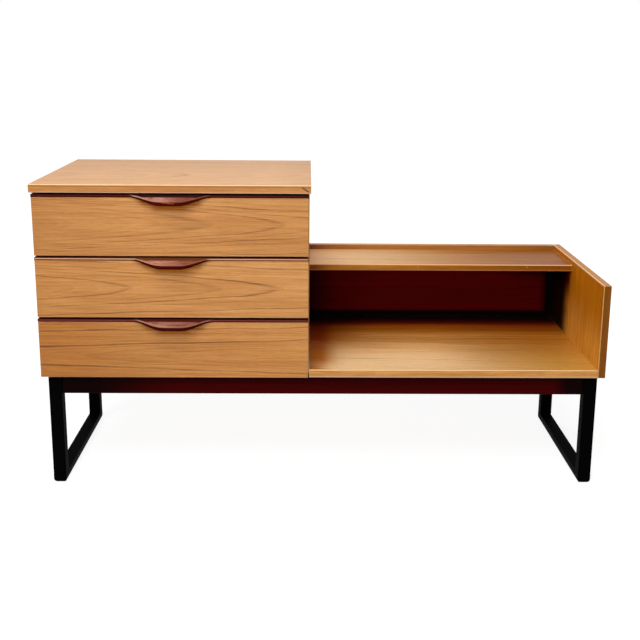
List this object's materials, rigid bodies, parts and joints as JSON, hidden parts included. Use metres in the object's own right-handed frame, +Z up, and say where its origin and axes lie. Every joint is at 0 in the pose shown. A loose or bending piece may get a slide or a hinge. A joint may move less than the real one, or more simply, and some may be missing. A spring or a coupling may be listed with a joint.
{
  "type": "storage bench",
  "caption": "Low wooden storage bench: a chest of drawers with sculpted lip pulls beside an open bay with a rear shelf, on black sled-frame legs.",
  "frame": {"origin": "on the ground, under the middle of the whole piece", "axes": "+Z up, -Y out of the drawer fronts, +X from the chest towards the open bay"},
  "size_m": [1.18, 0.447, 0.646],
  "materials": {
    "teak_veneer": "satin oiled teak veneer with straight and cathedral grain",
    "dark_hardwood": "polished red-brown hardwood",
    "red_brown_stain": "dark red-brown stain, satin",
    "ebonised_wood": "black stain, satin",
    "drawer_timber": "plain pale hardwood",
    "drawer_bottom_board": "thin brown board"
  },
  "bodies": {
    "cabinet": {"top_panel": "teak_veneer", "left_side_panel": "teak_veneer", "partition_panel": "teak_veneer", "chest_base_board": "teak_veneer", "chest_back_panel": "red_brown_stain", "bench_floor": "teak_veneer", "end_panel": "teak_veneer", "rear_shelf": "teak_veneer", "back_rail": "teak_veneer", "bench_back_panel": "red_brown_stain", "left_sled_runner": "ebonised_wood", "left_front_leg": "ebonised_wood", "left_rear_leg": "ebonised_wood", "left_sled_bearer": "ebonised_wood", "right_sled_runner": "ebonised_wood", "right_front_leg": "ebonised_wood", "right_rear_leg": "ebonised_wood", "right_sled_bearer": "ebonised_wood", "front_base_rail": "red_brown_stain", "rear_base_rail": "red_brown_stain", "front_left_corner_block": "drawer_timber", "front_right_corner_block": "drawer_timber", "rear_left_corner_block": "drawer_timber", "rear_right_corner_block": "drawer_timber", "lower_drawer_left_runner": "drawer_timber", "lower_drawer_right_runner": "drawer_timber", "middle_drawer_left_runner": "drawer_timber", "middle_drawer_right_runner": "drawer_timber", "upper_drawer_left_runner": "drawer_timber", "upper_drawer_right_runner": "drawer_timber"},
    "lower_drawer": {"lower_drawer_front": "teak_veneer", "lower_drawer_pull": "dark_hardwood", "lower_drawer_left_side": "drawer_timber", "lower_drawer_right_side": "drawer_timber", "lower_drawer_back": "drawer_timber", "lower_drawer_bottom": "drawer_bottom_board"},
    "middle_drawer": {"middle_drawer_front": "teak_veneer", "middle_drawer_pull": "dark_hardwood", "middle_drawer_left_side": "drawer_timber", "middle_drawer_right_side": "drawer_timber", "middle_drawer_back": "drawer_timber", "middle_drawer_bottom": "drawer_bottom_board"},
    "upper_drawer": {"upper_drawer_front": "teak_veneer", "upper_drawer_pull": "dark_hardwood", "upper_drawer_left_side": "drawer_timber", "upper_drawer_right_side": "drawer_timber", "upper_drawer_back": "drawer_timber", "upper_drawer_bottom": "drawer_bottom_board"}
  },
  "joints": [
    {"name": "lower_drawer_slide", "type": "slide", "parent": "cabinet", "child": "lower_drawer", "axis": [0, -1, 0], "range_m": [0, 0.29]},
    {"name": "middle_drawer_slide", "type": "slide", "parent": "cabinet", "child": "middle_drawer", "axis": [0, -1, 0], "range_m": [0, 0.29]},
    {"name": "upper_drawer_slide", "type": "slide", "parent": "cabinet", "child": "upper_drawer", "axis": [0, -1, 0], "range_m": [0, 0.29]}
  ]
}
